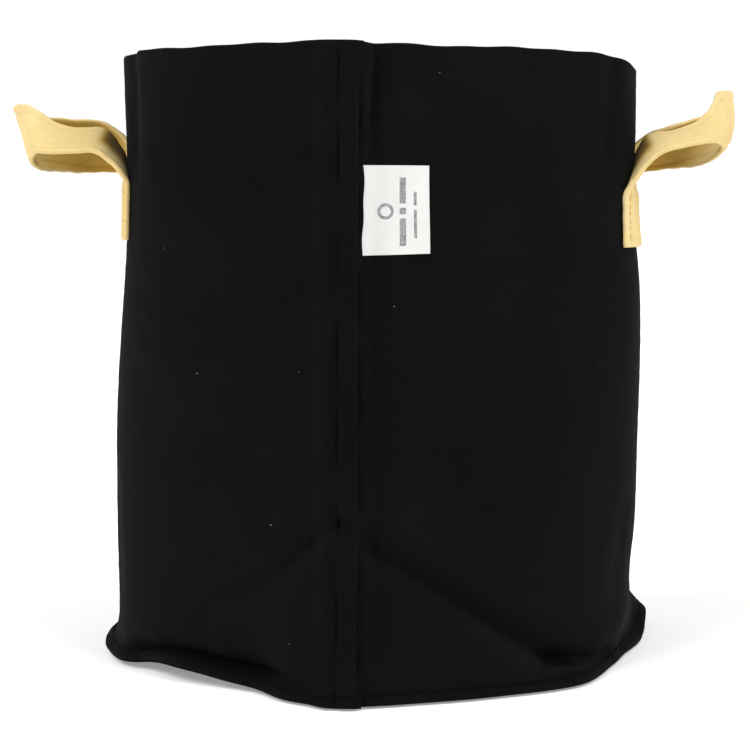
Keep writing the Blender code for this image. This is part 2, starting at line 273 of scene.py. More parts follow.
def closed_spline(points):
    """SAMPLES points on a closed Catmull-Rom curve through the given ones."""
    points = np.array(points) / TENTHS
    spot = np.arange(SAMPLES) * len(points) / SAMPLES
    k = spot.astype(int)
    t = (spot - k)[:, None]
    a, b, c, d = (points[(k + step) % len(points)] for step in (-1, 0, 1, 2))
    return 0.5 * (2 * b + (c - a) * t + (2 * a - 5 * b + 4 * c - d) * t ** 2
                  + (3 * b - a - 3 * c + d) * t ** 3)


def by_length(points):
    """The closed curve's points, the share of its length at each, and its length."""
    points = np.vstack([points, points[0]])
    along = np.concatenate([[0.0], np.cumsum(np.linalg.norm(np.diff(points, axis=0), axis=1))])
    return points, along / along[-1], along[-1]


OUTLINES = [by_length(closed_spline(points)) for points in (RIM_OUTLINE, BODY_OUTLINE, HEM_OUTLINE)]
GIRTH = OUTLINES[1][2]


def level_xy(level, u):
    points, share, _ = OUTLINES[level]
    u = u % 1.0
    return np.stack([np.interp(u, share, points[:, 0]), np.interp(u, share, points[:, 1])], -1)


def from_seam(s):
    """Distance round the bag with a sign: minus to the left of the front seam."""
    return (s + GIRTH / 2) % GIRTH - GIRTH / 2


def beside_back(near):
    """0 at the middle of the back, where the distance from the seam changes sign, and 1 beside it."""
    return smooth((GIRTH / 2 - np.abs(near)) / 0.05)


def crease_height(s):
    """Height of the fold above the foot."""
    near = from_seam(s)
    away = np.maximum(np.abs(near) - CREASE_START, 0)
    right = np.maximum(CREASE_TOP - CREASE_RIGHT_DROP - CREASE_RIGHT[0] * away, CREASE_RIGHT[1])
    left = np.maximum(CREASE_TOP - CREASE_LEFT[0] * away, CREASE_LEFT[1])
    level = np.where(near > 0, right, left)
    level = CREASE_BACK + (level - CREASE_BACK) * beside_back(near)
    return level + 0.012 * smooth((away - 0.13) / 0.06)


def capped(t):
    """Rises straight from 0 and levels off at 1 with a small rounding."""
    sharpness = 7
    return t / (1 + t ** sharpness) ** (1 / sharpness)


def tuck(s):
    """How suddenly the wall turns in above the foot: 1 is a straight slope, less is a tight tuck."""
    near = from_seam(s)
    return 1 - TUCK_DEPTH * window(near, *TUCK_LEFT) - TUCK_DEPTH * window(near, *TUCK_RIGHT)


def foot_drop(u):
    """How steeply the foot's flange points down, in radians."""
    left = np.minimum(1, loop_bell(u, 0.775, 0.075) + 0.85 * loop_bell(u, 0.87, 0.05))
    right = loop_bell(u, 0.275, 0.055)
    back = loop_bell(u, 0.5, 0.16) * (1 - left - right)
    degrees = FLANGE_DROP_FRONT
    for share, drop in zip((left, right, back), FLANGE_DROP_SIDES):
        degrees = degrees + (drop - FLANGE_DROP_FRONT) * share
    return np.radians(degrees)


def seam_height(u):
    """Height of the seam line: the flange's tip stands on the floor, or curls off it at a corner."""
    drop = foot_drop(u)
    curl = sum(rise * loop_bell(u, place, width) for rise, place, width in CURLS)
    return FLANGE * np.sin(drop) + (FELT + FOOT_GAP / 2) * np.cos(drop) + curl + FLOOR_CLEAR


def wall_plan(s, z):
    u = s / GIRTH
    foot = seam_height(u)
    rim, body, hem = (level_xy(level, u) for level in range(3))
    upper = smooth((z - BODY_HEIGHT) / (HEIGHT - BODY_HEIGHT))[..., None]
    rise = (z - foot) / (crease_height(s) - foot)
    lower = 1 - capped(np.maximum(rise, 1e-6) ** tuck(s))[..., None]
    return body + upper * (rim - body) + lower * (hem - body)


def plan_normal(s, z):
    """The wall's outward direction in plan."""
    step = 0.0025
    along = wall_plan(s + step, z) - wall_plan(s - step, z)
    return unit(np.stack([along[..., 1], -along[..., 0]], -1))


def to_segment(s, z, start, end):
    """Distance from (s, z) to a straight line on the cloth, with its sign, and the share along it."""
    start, end = np.array(start), np.array(end)
    run = end - start
    share = ((s - start[0]) * run[0] + (z - start[1]) * run[1]) / (run @ run)
    held = np.clip(share, 0, 1)
    away = np.hypot(s - start[0] - held * run[0], z - start[1] - held * run[1])
    side = np.sign(run[0] * (z - start[1]) - run[1] * (s - start[0]))
    return away * side, share


def crease(s, z, start, end, depth, width, swell):
    """A sunk fold line with a swelling just below it. Runs out softly at both ends."""
    away, share = to_segment(s, z, start, end)
    below = away * np.sign(start[0] - end[0])
    fade = smooth(share / 0.3 + 0.5) * smooth((1 - share) / 0.18 + 0.5)
    fade = fade * (0.6 + 0.4 * np.clip(share, 0, 1))
    return fade * (swell * bell(below - 1.9 * width, 1.6 * width) - depth * bell(below, width))


def soft_folds(s, z):
    """How far the cloth stands out of its plain outline: creases, dents and slow waves."""
    near = from_seam(s)
    out = sum(crease(near, z, *line) for line in CREASES)
    for place, low, high, depth, width in DENTS:
        inside = smooth((z - low) / 0.045) * smooth((high - z) / 0.03 + (high > 0.34))
        lean = (z - low) * 0.1 * np.sign(place)
        out -= depth * bell(near - place - lean, width) * inside
    for place, width, height, tall, stand in SHAPES:
        out += stand * bell(near - place, width) * bell(z - height, tall)
    sunk = window(near, *FURROW_LEFT) + window(near, *FURROW_RIGHT)
    out -= FURROW_DEPTH * sunk * bell(z - seam_height(s / GIRTH) - FURROW_HEIGHT, FURROW_SPREAD)
    slow = np.sin(near * 41 + 1.3 + z * 9) * np.sin(z * 17 + 0.6)
    slow += 0.6 * np.sin(near * 23 - z * 21 + 2.0)
    away_from_front = smooth((np.abs(near) - 0.1) / 0.1)
    out += slow * (0.0003 + 0.0009 * away_from_front) * beside_back(near)
    return out


def wall_point(s, z, out=0.0):
    """A point of the wall, out metres outward from the middle of its felt."""
    s, z = np.broadcast_arrays(np.asarray(s, float), np.asarray(z, float))
    place = wall_plan(s, z) + plan_normal(s, z) * (soft_folds(s, z) + out)[..., None]
    return lifted(place, z)


def lap_offset(s):
    """How far the wall stands out where its far end lies over its near end."""
    start = GIRTH - LAP / 2 - LAP_RAMP
    return (FELT + GAP) * smooth((s - start) / (LAP_RAMP - 0.002))


def flange_width(u):
    """The flange is a hand-trimmed edge, so its width wanders."""
    turn = 2 * math.pi * u
    notches = sum(wider * loop_bell(u, place, width) for wider, place, width in NOTCHES)
    return FLANGE + 0.0005 * np.sin(9 * turn + 0.5) + 0.0003 * np.sin(23 * turn) + notches


def foot_point(s, share, out, lift=0.0):
    """A point on the flange: share of its width from the seam line, out from the parting face."""
    u = s / GIRTH
    z = seam_height(u)
    drop = foot_drop(u)
    reach = FLANGE * share + (flange_width(u) - FLANGE) * share * np.cos(drop)
    outward = reach * np.cos(drop) + out * np.sin(drop) + lift
    place = wall_plan(s, z) + plan_normal(s, z) * outward[..., None]
    return lifted(place, z - FLANGE * share * np.sin(drop) + out * np.cos(drop))


def rim_height(s):
    """The cut edge of the rim: a little lower at the right side, and never quite straight."""
    near = from_seam(s)
    wander = (0.00035 * np.sin(near * 83) + 0.0002 * np.sin(near * 211)) * beside_back(near)
    wander += 0.0005 * bell(near + 0.065, 0.08) + 0.0012 * bell(near - 0.15, 0.06)
    wander += 0.0012 * bell(near + 0.014, 0.02) - 0.0008 * bell(near - 0.013, 0.01)
    return HEIGHT - 0.0004 - RIM_DIP * loop_bell(s / GIRTH, 0.25, 0.05) + wander


def wall_cloth(s, d, lift):
    """The wall's middle surface: d is metres up from the seam line, minus on the turned-out hem."""
    out = (FELT + FOOT_GAP) / 2
    u = s / GIRTH
    corner = foot_point(s, np.zeros_like(s), out, lift)
    base = corner[..., 2]
    lean = out * np.sin(foot_drop(u))
    span = rim_height(s) - base

    def up(distance):
        z = base + np.maximum(distance, 0) * span / WALL_RUN
        return wall_point(s, z, lift + lean * (1 - smooth((z - base) / 0.02)))

    def down(distance):
        return foot_point(s, distance / FLANGE, out, lift)

    t = np.clip((d + CORNER) / (2 * CORNER), 0, 1)[..., None]
    near_low = down(np.full_like(s, CORNER))
    near_high = up(np.full_like(s, CORNER))
    rounded = (1 - t) ** 2 * near_low + 2 * t * (1 - t) * up(np.zeros_like(s)) + t ** 2 * near_high
    straight = np.where((d > 0)[..., None], up(d), down(np.maximum(-d, 0)))
    return np.where((np.abs(d) < CORNER)[..., None], rounded, straight)


# ---- mesh tools
def steps(start, end, step):
    return list(np.linspace(start, end, max(2, int(round((end - start) / step)) + 1)))


def with_round_edges(values, low=True, radius=FELT / 2):
    """Adds the close rows that a rounded cut edge needs at the ends of a list of distances."""
    near = [share * radius for share in (0.0, 0.06, 0.22, 0.5, 0.85)]
    start, end = values[0], values[-1]
    inner = [v for v in values if (not low or v > start + 1.25 * radius) and v < end - 1.25 * radius]
    head = [start + n for n in near] if low else []
    return np.array(head + inner + [end - n for n in reversed(near)])


def grain(points, size, seed):
    """A smooth random height between about -1 and 1 at each point, with lumps of the given size."""
    shift = Vector((seed * 7.3, seed * 3.1, seed * 5.7))
    flat = points.reshape(-1, 3) / size
    values = [noise.noise(Vector(p) + shift) for p in flat]
    return np.array(values).reshape(points.shape[:-1])


def grid_normals(middle, closed):
    """Unit normals of a grid of points; the first index runs up, the second along."""
    if closed:
        wide = np.concatenate([middle[:, -1:], middle, middle[:, :1]], 1)
        along = wide[:, 2:] - wide[:, :-2]
    else:
        along = np.gradient(middle, axis=1)
    up = np.gradient(middle, axis=0)
    normal = np.cross(along, up)
    length = np.linalg.norm(normal, axis=-1, keepdims=True)
    return normal / np.maximum(length, 1e-12)


def add_mesh(name, points, faces, material, uvs=None, shade=None):
    """Makes a shaded object from points and faces, without the points that no face uses."""
    used, packed = np.unique(np.concatenate([f.ravel() for f in faces]), return_inverse=True)
    mesh = bpy.data.meshes.new(name)
    sizes = np.concatenate([np.full(len(f), f.shape[1]) for f in faces])
    mesh.vertices.add(len(used))
    mesh.vertices.foreach_set("co", points[used].astype(np.float32).ravel())
    mesh.loops.add(len(packed))
    mesh.loops.foreach_set("vertex_index", packed.astype(np.int32))
    mesh.polygons.add(len(sizes))
    mesh.polygons.foreach_set("loop_start", (np.cumsum(sizes) - sizes).astype(np.int32))
    if uvs is not None:
        layer = mesh.uv_layers.new(name="cloth")
        layer.data.foreach_set("uv", uvs[used][packed].astype(np.float32).ravel())
    # The shade attribute carries painted shade, which the felt materials darken their colour by.
    if shade is not None:
        layer = mesh.attributes.new("shade", "FLOAT", "POINT")
        layer.data.foreach_set("value", shade[used].astype(np.float32))
    mesh.update(calc_edges=True)
    mesh.validate()
    mesh.shade_smooth()
    mesh.materials.append(material)
    thing = bpy.data.objects.new(name, mesh)
    bpy.context.scene.collection.objects.link(thing)
    return thing


def finish_piece(piece, body, slot, *nodes):
    """Puts a piece on the body it rides on and hides the CAD nodes it stands for. slot is not used.
    """
    if body:
        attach(piece, body)
    if nodes:
        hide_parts(*nodes)


def felt_sheet(name, middle, to_edge, thickness, material, outer=0.0, inner=0.0, closed=False,
               pole=False, uvs=None, shades=None):
    """A closed sheet of cloth round a middle surface, with rounded cut edges.

    to_edge is each point's distance to the nearest cut edge; outer and inner thicken the two faces.
    closed joins the last column to the first, and pole makes the first row one point.
    """
    rows, columns = middle.shape[:2]
    normals = grid_normals(middle, closed)
    radius = thickness / 2
    share = np.sqrt(np.clip(1 - (1 - np.clip(to_edge / radius, 0, 1)) ** 2, 0, 1))
    half = (radius * share)[..., None]
    front = middle + normals * (half + (outer * share)[..., None])
    back = middle - normals * (half + (inner * share)[..., None])
    points = np.concatenate([front.reshape(-1, 3), back.reshape(-1, 3)])
    ids = np.arange(rows * columns).reshape(rows, columns)
    behind = np.where(to_edge <= 1e-9, ids, ids + rows * columns)
    if closed:
        ids = np.concatenate([ids, ids[:, :1]], 1)
        behind = np.concatenate([behind, behind[:, :1]], 1)
    faces = []
    for layer, flip in ((ids, False), (behind, True)):
        if pole:
            hub = np.full(layer.shape[1] - 1, layer[0, 0])
            fan = np.stack([hub, layer[1, 1:], layer[1, :-1]], -1)
            faces.append(fan if flip else fan[:, ::-1])
            layer = layer[1:]
        quads = np.stack([layer[:-1, :-1], layer[:-1, 1:], layer[1:, 1:], layer[1:, :-1]], -1)
        quads = quads.reshape(-1, 4)
        faces.append(quads[:, ::-1] if flip else quads)
    both = None if uvs is None else np.concatenate([uvs.reshape(-1, 2)] * 2)
    # shades holds the painted shade of the front and the back face.
    shade = None if shades is None else np.concatenate([face.ravel() for face in shades])
    return add_mesh(name, points, faces, material, both, shade)


def spans_of(stations):
    """Distances along a row of stations, measured at the middle of each."""
    middle = stations.mean(axis=1)
    return np.concatenate([[0.0], np.cumsum(np.linalg.norm(np.diff(middle, axis=0), axis=1))])


def loft(stations, knots, t):
    """Rows between the stations at distances t: a smooth curve through each column of points."""
    gaps = np.diff(knots)[:, None, None]
    slopes = np.diff(stations, axis=0) / gaps
    inner = (slopes[:-1] * gaps[1:] + slopes[1:] * gaps[:-1]) / (gaps[1:] + gaps[:-1])
    tangents = np.concatenate([slopes[:1], inner, slopes[-1:]])
    k = np.clip(np.searchsorted(knots, t, side="right") - 1, 0, len(knots) - 2)
    gap = (knots[k + 1] - knots[k])[:, None, None]
    r = (t - knots[k])[:, None, None] / gap
    return ((2 * r ** 3 - 3 * r ** 2 + 1) * stations[k]
            + (r ** 3 - 2 * r ** 2 + r) * gap * tangents[k]
            + (3 * r ** 2 - 2 * r ** 3) * stations[k + 1]
            + (r ** 3 - r ** 2) * gap * tangents[k + 1])


def tubes(name, rings, side, other, angle, material, flip=False):
    """Many thin closed tubes in one mesh.

    rings holds each tube's (centres, radius at each angle) from end to end; side and other are the
    two directions across each tube.
    """
    grid = np.stack([centre[:, None] + side[:, None] * (fat * np.cos(angle))[None, :, None]
                     + other[:, None] * (fat * np.sin(angle))[None, :, None]
                     for centre, fat in rings], 1)
    ids = np.arange(grid.size // 3).reshape(grid.shape[:3])
    turned = np.roll(ids, -1, axis=2)
    quads = np.stack([ids[:, :-1], turned[:, :-1], turned[:, 1:], ids[:, 1:]], -1).reshape(-1, 4)
    faces = [quads, ids[:, 0, ::-1], ids[:, -1]]
    if flip:
        faces = [face[:, ::-1] for face in faces]
    return add_mesh(name, grid.reshape(-1, 3), faces, material)


def round_angles(around):
    return np.arange(around) * 2 * math.pi / around


def stitches(name, node, points, normals, slot, closed=False):
    """Separate stitches of two-ply thread from point to point, both ends sunk into the cloth."""
    starts, ends = points, np.roll(points, -1, axis=0)
    if not closed:
        starts, ends, normals = starts[:-1], ends[:-1], normals[:-1]
    run = (ends - starts) * STITCH_SHARE
    starts = starts + (ends - starts) * (1 - STITCH_SHARE) / 2
    along = unit(run)
    side = unit(np.cross(along, normals))
    above = np.cross(side, along)
    angle = round_angles(10)
    rings = []
    for t in np.arange(9) / 8:
        sink = -1.7 * THREAD * abs(2 * t - 1) ** 3 + 0.35 * THREAD
        fat = THREAD * (0.25 + 0.75 * math.sqrt(max(0.0, 1 - abs(2 * t - 1) ** 6)))
        ply = fat * (0.84 + 0.18 * np.cos(2 * (angle + 4.2 * t)))
        rings.append((starts + run * t + above * sink, ply))
    row = tubes(name, rings, side, above, angle, THREADS[slot], flip=True)
    finish_piece(row, "bag", slot, node)


def fibres(name, roots, directions, material, length, radius, seed):
    """Loose fibre ends that stand off the felt: thin bent spindles, each one closed."""
    rng = np.random.default_rng(seed)
    count = len(roots)
    lengths = length * rng.uniform(0.4, 1.3, count)[:, None]
    bends = rng.normal(0, 0.55, (count, 3))
    axis = unit(directions)
    side = unit(np.cross(axis, rng.normal(0, 1, (count, 3))))
    rings = [(roots + axis * lengths * t + bends * lengths * t * t * 0.5, radius * (1 - 0.8 * t))
             for t in np.arange(5) / 4]
    tufts = tubes(name, rings, side, np.cross(axis, side), round_angles(3), material)
    finish_piece(tufts, "bag", "felt_black")


# ---- materials
def set_inputs(tree, node, inputs):
    """Sets each input of a node, by name or number, or links it to another node's output."""
    for key, value in inputs.items():
        if isinstance(value, bpy.types.NodeSocket):
            tree.links.new(value, node.inputs[key])
        else:
            node.inputs[key].default_value = value


def add_node(tree, kind, inputs, **fields):
    """A new shader node with its fields and inputs set."""
    node = tree.nodes.new("ShaderNode" + kind)
    for field, value in fields.items():
        setattr(node, field, value)
    set_inputs(tree, node, inputs)
    return node


def new_material(name):
    material = bpy.data.materials.new(name)
    material.use_nodes = True
    tree = material.node_tree
    return material, tree, tree.nodes["Principled BSDF"]


def place_node(tree, stretch=(1, 1, 1)):
    """Object coordinates, scaled along each axis."""
    place = add_node(tree, "TexCoord", {}).outputs["Object"]
    return add_node(tree, "Mapping", {"Vector": place, "Scale": stretch}).outputs["Vector"]


def noise_node(tree, scale, detail, roughness, stretch=(1, 1, 1), distortion=0.0):
    inputs = {"Vector": place_node(tree, stretch), "Scale": scale, "Detail": detail,
              "Roughness": roughness, "Distortion": distortion}
    return add_node(tree, "TexNoise", inputs).outputs["Fac"]


def math_node(tree, operation, first, second):
    return add_node(tree, "Math", {0: first, 1: second}, operation=operation).outputs[0]


def ramp_node(tree, value, stops):
    """Colours by value; stops are (position, colour)."""
    ramp = add_node(tree, "ValToRGB", {"Fac": value})
    while len(ramp.color_ramp.elements) < len(stops):
        ramp.color_ramp.elements.new(0.5)
    for element, (position, colour) in zip(ramp.color_ramp.elements, stops):
        element.position = position
        element.color = (*colour, 1)
    return ramp.outputs["Color"]


def mix_node(tree, factor, first, second, blend="MIX"):
    inputs = {"Factor": factor, "A": first, "B": second}
    return add_node(tree, "Mix", inputs, data_type="RGBA", blend_type=blend).outputs["Result"]


def bump_chain(tree, layers):
    """Several bump layers, (height, strength, distance), one on another."""
    below = {}
    for height, strength, distance in layers:
        inputs = {"Height": height, "Strength": strength, "Distance": distance, **below}
        below = {"Normal": add_node(tree, "Bump", inputs).outputs["Normal"]}
    return below["Normal"]


def grey(value):
    return value, value, value


def fibre_height(tree):
    """Short tangled fibres: three stretched noises, lying in different directions."""
    sets = [noise_node(tree, 900, 4, 0.6, stretch, 0.8)
            for stretch in ((1, 1, 0.22), (0.24, 0.24, 1), (0.7, 0.7, 0.5))]
    return math_node(tree, "MAXIMUM", math_node(tree, "MAXIMUM", sets[0], sets[1]), sets[2])


def felt_material(name, tones, strands, painted_shade_tones, sheen, sheen_tint, specular):
    """Needle-punched felt: soft blotches, tangled fibres, small pits, a dusty sheen, painted shade in
    hollows.

    tones are the three felt colours, strands what the fibres multiply them by, and the last list what
    half and full painted shade multiply them by, where the shade attribute darkens hollows and
    creases.
    """
    material, tree, shader = new_material(name)
    blotch = noise_node(tree, 16, 4, 0.55)
    fibre = fibre_height(tree)
    base = ramp_node(tree, blotch, list(zip((0.3, 0.52, 0.75), tones)))
    colour = mix_node(tree, 1.0, base, ramp_node(tree, fibre, strands), "MULTIPLY")
    # Painted shade: the mesh's shade attribute darkens the felt colour where shade falls.
    shade = add_node(tree, "Attribute", {}, attribute_name="shade").outputs["Fac"]
    painted_shade = ramp_node(tree, shade, [(0.0, grey(1)), (0.5, painted_shade_tones[0]), (1.0, painted_shade_tones[1])])
    pits = noise_node(tree, 420, 3, 0.6)
    set_inputs(tree, shader, {
        "Base Color": mix_node(tree, 1.0, colour, painted_shade, "MULTIPLY"),
        "Roughness": ramp_node(tree, fibre, [(0.4, grey(0.98)), (0.8, grey(0.86))]),
        "Specular IOR Level": specular,
        "Sheen Weight": sheen,
        "Sheen Roughness": 0.55,
        "Sheen Tint": (*sheen_tint, 1),
        "Normal": bump_chain(tree, [(pits, 0.3, 0.0008), (fibre, 0.35, 0.0003)]),
    })
    return material


def thread_material(name, dark, light, specular):
    """Twisted polyester: fine slanting plies with a little lustre."""
    material, tree, shader = new_material(name)
    ply = noise_node(tree, 1500, 2, 0.5, (1, 1, 0.4))
    set_inputs(tree, shader, {
        "Base Color": ramp_node(tree, ply, [(0.35, dark), (0.65, light)]),
        "Roughness": 0.62,
        "Specular IOR Level": specular,
        "Sheen Weight": 0.01,
        "Normal": bump_chain(tree, [(ply, 0.4, 0.0002)]),
    })
    return material


def inside(tree, value, low, high):
    """1 where low < value < high."""
    return math_node(tree, "MULTIPLY", math_node(tree, "GREATER_THAN", value, low),
                     math_node(tree, "LESS_THAN", value, high))


def label_material(name):
    """White woven label cloth with a plain ring and a few plain bars printed in grey."""
    material, tree, shader = new_material(name)
    uv = add_node(tree, "UVMap", {}, uv_map="cloth").outputs["UV"]
    parts = add_node(tree, "SeparateXYZ", {"Vector": uv}).outputs
    x, y = parts["X"], parts["Y"]
    squares = [math_node(tree, "POWER", math_node(tree, "SUBTRACT", place, middle), 2)
               for place, middle in zip((x, y), RING_PLACE)]
    away = math_node(tree, "SQRT", math_node(tree, "ADD", *squares), 0)
    ink = inside(tree, away, *RING_RADII)
    for low_x, high_x, low_y, high_y in LABEL_BARS:
        wide, tall = inside(tree, x, low_x, high_x), inside(tree, y, low_y, high_y)
        ink = math_node(tree, "MAXIMUM", ink, math_node(tree, "MULTIPLY", wide, tall))
    warp = add_node(tree, "TexWave", {"Vector": place_node(tree), "Scale": 620, "Distortion": 0.6})
    stains = noise_node(tree, 60, 3, 0.5)
    cloth = ramp_node(tree, stains, [(0.3, (0.68, 0.68, 0.66)), (0.7, (0.74, 0.74, 0.72))])
    worn = noise_node(tree, 700, 2, 0.6)
    print_grey = ramp_node(tree, worn, [(0.3, (0.16, 0.16, 0.17)), (0.75, (0.42, 0.42, 0.43))])
    set_inputs(tree, shader, {
        "Base Color": mix_node(tree, ink, cloth, print_grey),
        "Roughness": 0.55,
        "Specular IOR Level": 0.35,
        "Sheen Weight": 0.1,
        "Normal": bump_chain(tree, [(warp.outputs["Fac"], 0.25, 0.00012), (stains, 0.2, 0.0004)]),
    })
    return material


def plain_material(name, colour, roughness, glow=0.0):
    material, tree, shader = new_material(name)
    tone = noise_node(tree, 3, 2, 0.5)
    set_inputs(tree, shader, {
        "Base Color": ramp_node(tree, tone, [(0.3, tuple(c * 0.98 for c in colour)), (0.7, colour)]),
        "Roughness": roughness,
        "Emission Color": (1, 1, 1, 1),
        "Emission Strength": glow,
    })
    return material


# Each felt's last colour list gives its painted shade, at half and at full shade.
BLACK_FELT = felt_material(
    "felt_black", [(0.0036, 0.0036, 0.0035), (0.0044, 0.0044, 0.0043), (0.0054, 0.0054, 0.0052)],
    [(0.45, grey(0.8)), (0.66, grey(1.0)), (0.8, grey(1.35))],
    [grey(0.45), grey(0.06)], 0.022, grey(0.9), 0.02)
TAN_FELT = felt_material(
    "strap_tan", [(0.71, 0.53, 0.22), (0.76, 0.585, 0.27), (0.81, 0.65, 0.33)],
    [(0.4, (0.94, 0.93, 0.9)), (0.75, (1.04, 1.04, 1.05))],
    [(0.7, 0.57, 0.26), (0.26, 0.2, 0.1)], 0.05, (1.0, 0.93, 0.75), 0.1)
THREADS = {
    "thread_black": thread_material("thread_black", grey(0.0012), grey(0.003), 0.03),
    "thread_tan": thread_material("thread_tan", (0.66, 0.47, 0.19), (0.8, 0.62, 0.3), 0.25),
}
LABEL_CLOTH = label_material("label_white")
LINT = plain_material("lint", (0.24, 0.24, 0.22), 0.9)


# ---- camera
def make_camera():
    camera = bpy.data.objects.new("camera", bpy.data.cameras.new("camera"))
    bpy.context.scene.collection.objects.link(camera)
    camera.data.sensor_width = 36
    camera.data.lens = CAMERA_LENS
    camera.location = CAMERA_PLACE
    camera.rotation_euler = (math.radians(90 - CAMERA_DIP), 0, 0)
    bpy.context.scene.camera = camera


# ---- felt body
def felt_lumps(points, size, fine_height, fine_size, seed):
    """Uneven thickness of felt: broad lumps with finer ones on them."""
    return 0.00016 * grain(points, size, seed) + fine_height * grain(points, fine_size, seed + 1)


def seam_grooves(s, z, depth):
    """The two rows of stitching pull the felt in: a groove with a dimple at each needle hole."""
    out = np.zeros_like(s)
    beat = 0.5 + 0.5 * np.cos(2 * math.pi * z / STITCH)
    for centre in (-ROW_OFFSET, ROW_OFFSET):
        away = s - centre
        uneven = 0.75 + 0.35 * np.sin(z * 131 + centre * 900) + 0.2 * np.sin(z * 47)
        out -= depth * uneven * (1.15 * bell(away, 0.0016) + 0.4 * beat ** 3 * bell(away, 0.0011))
    return out


def make_wall():
    """The wrap-around panel: its far end laps over its near end in front, and its hem turns out."""
    half = LAP / 2
    fine, coarse = 0.00075, 0.0017
    first, last = 0.024, GIRTH - 0.03
    columns = steps(-half, first, fine) + steps(first, last, coarse)[1:-1]
    columns = with_round_edges(columns + steps(last, GIRTH + half, fine))
    rows = with_round_edges(steps(-FLANGE, 0.016, 0.001) + steps(0.016, WALL_RUN, 0.0016)[1:])
    d, s = np.meshgrid(rows, columns, indexing="ij")
    frayed = np.sin(d * 310) * 0.00025 + np.sin(d * 97 + 1) * 0.00035
    s_cloth = s + frayed * smooth((s - (GIRTH + half - 0.006)) / 0.006)
    middle = wall_cloth(s_cloth, d, lap_offset(s_cloth))
    z = middle[..., 2]
    edge = np.minimum.reduce([s - columns[0], columns[-1] - s, d - rows[0], rows[-1] - d])
    outer = felt_lumps(middle, 0.006, 0.0001, 0.0024, 1)
    outer += seam_grooves(s - GIRTH, z, 0.0012)
    outer += -0.0006 * bell(d + 0.35 * FLANGE, 0.0016) - 0.0011 * bell(GIRTH + half - s, 0.0024)
    inner = felt_lumps(middle, 0.0055, 0.0001, 0.0022, 3) + seam_grooves(s, z, 0.0007)
    near = from_seam(s)
    # Painted shade: the felt is darkened in the furrow above the flange and along the right arm of
    # the fold.
    painted_shade_reach = np.maximum(window(near, *SHADE_LEFT), 0.8 * window(near, *FURROW_RIGHT))
    painted_groove_shade = bell(d - 0.004, 0.0065) * painted_shade_reach
    painted_fold_shade = 0.25 * -crease(near, z, *CREASES[0][:2], 1.0, 0.0055, 0.0)
    wall = felt_sheet("felt_wall", middle, edge, FELT, BLACK_FELT, outer, inner,
                      shades=(np.clip(painted_groove_shade + painted_fold_shade, 0, 1), painted_groove_shade))
    finish_piece(wall, "bag", "felt_black", "wall_panel")


def make_base():
    """The oval base: flat on the floor, rising to the seam and turned out under the wall's hem."""
    count = 560
    s = GIRTH * np.arange(count) / count
    below = np.full(count, -(FELT + FOOT_GAP) / 2)
    rest = FELT / 2 + 0.0001
    edge = foot_point(s, np.zeros(count), below)
    flat = lifted(edge[:, :2], np.full(count, rest))
    centre = np.zeros((count, 3)) + (0, 0, rest)
    inward = unit(centre - flat)
    rise = (edge[:, 2] - rest)[:, None] * np.array([0, 0, 1.0])
    turn_up = ((0.027, 0.0), (0.016, 0.4), (0.008, 0.82), (0.0032, 0.99))
    stations = np.stack(
        [centre + (flat - centre) * share for share in (0.0, 0.35, 0.7)]
        + [flat + inward * back + rise * share for back, share in turn_up]
        + [foot_point(s, np.full(count, share), below) for share in (0.25, 0.62, 1.0)])
    runs = np.linalg.norm(np.diff(stations, axis=0), axis=2).mean(axis=1)
    knots = np.concatenate([[0.0], np.cumsum(runs)])
    total = knots[-1]
    turn = total - 0.03
    rows = with_round_edges(steps(0, turn, 0.0026) + steps(turn, total, 0.0011)[1:], low=False)
    middle = loft(stations, knots, rows)
    inside_seam = (rows < total - 2 * FLANGE)[:, None]
    middle[..., 2] = np.where(inside_seam, np.maximum(middle[..., 2], rest), middle[..., 2])
    share = (rows / total)[:, None]
    angle = (2 * math.pi * s / GIRTH)[None, :]
    pucker = 0.0005 * np.sin(angle * 31 + 2 * np.sin(angle * 7)) * smooth((share - 0.72) / 0.1)
    pucker *= smooth((0.955 - share) / 0.05)
    waves = 0.0006 * (1 + np.sin(angle * 3 + share * 9))
    waves *= smooth(share / 0.2) * smooth((0.8 - share) / 0.2)
    middle[..., 2] += np.abs(pucker) + waves
    to_edge = np.broadcast_to((total - rows)[:, None], middle.shape[:2])
    base = felt_sheet("felt_base", middle, to_edge, FELT, BLACK_FELT,
                      inner=-0.00014 * grain(middle, 0.0055, 5), closed=True, pole=True)
    finish_piece(base, "bag", "felt_black", "base_disc")


def level_normals(s, z):
    """The wall's outward direction, as level vectors in space."""
    return lifted(plan_normal(s, z), np.zeros(len(s)))


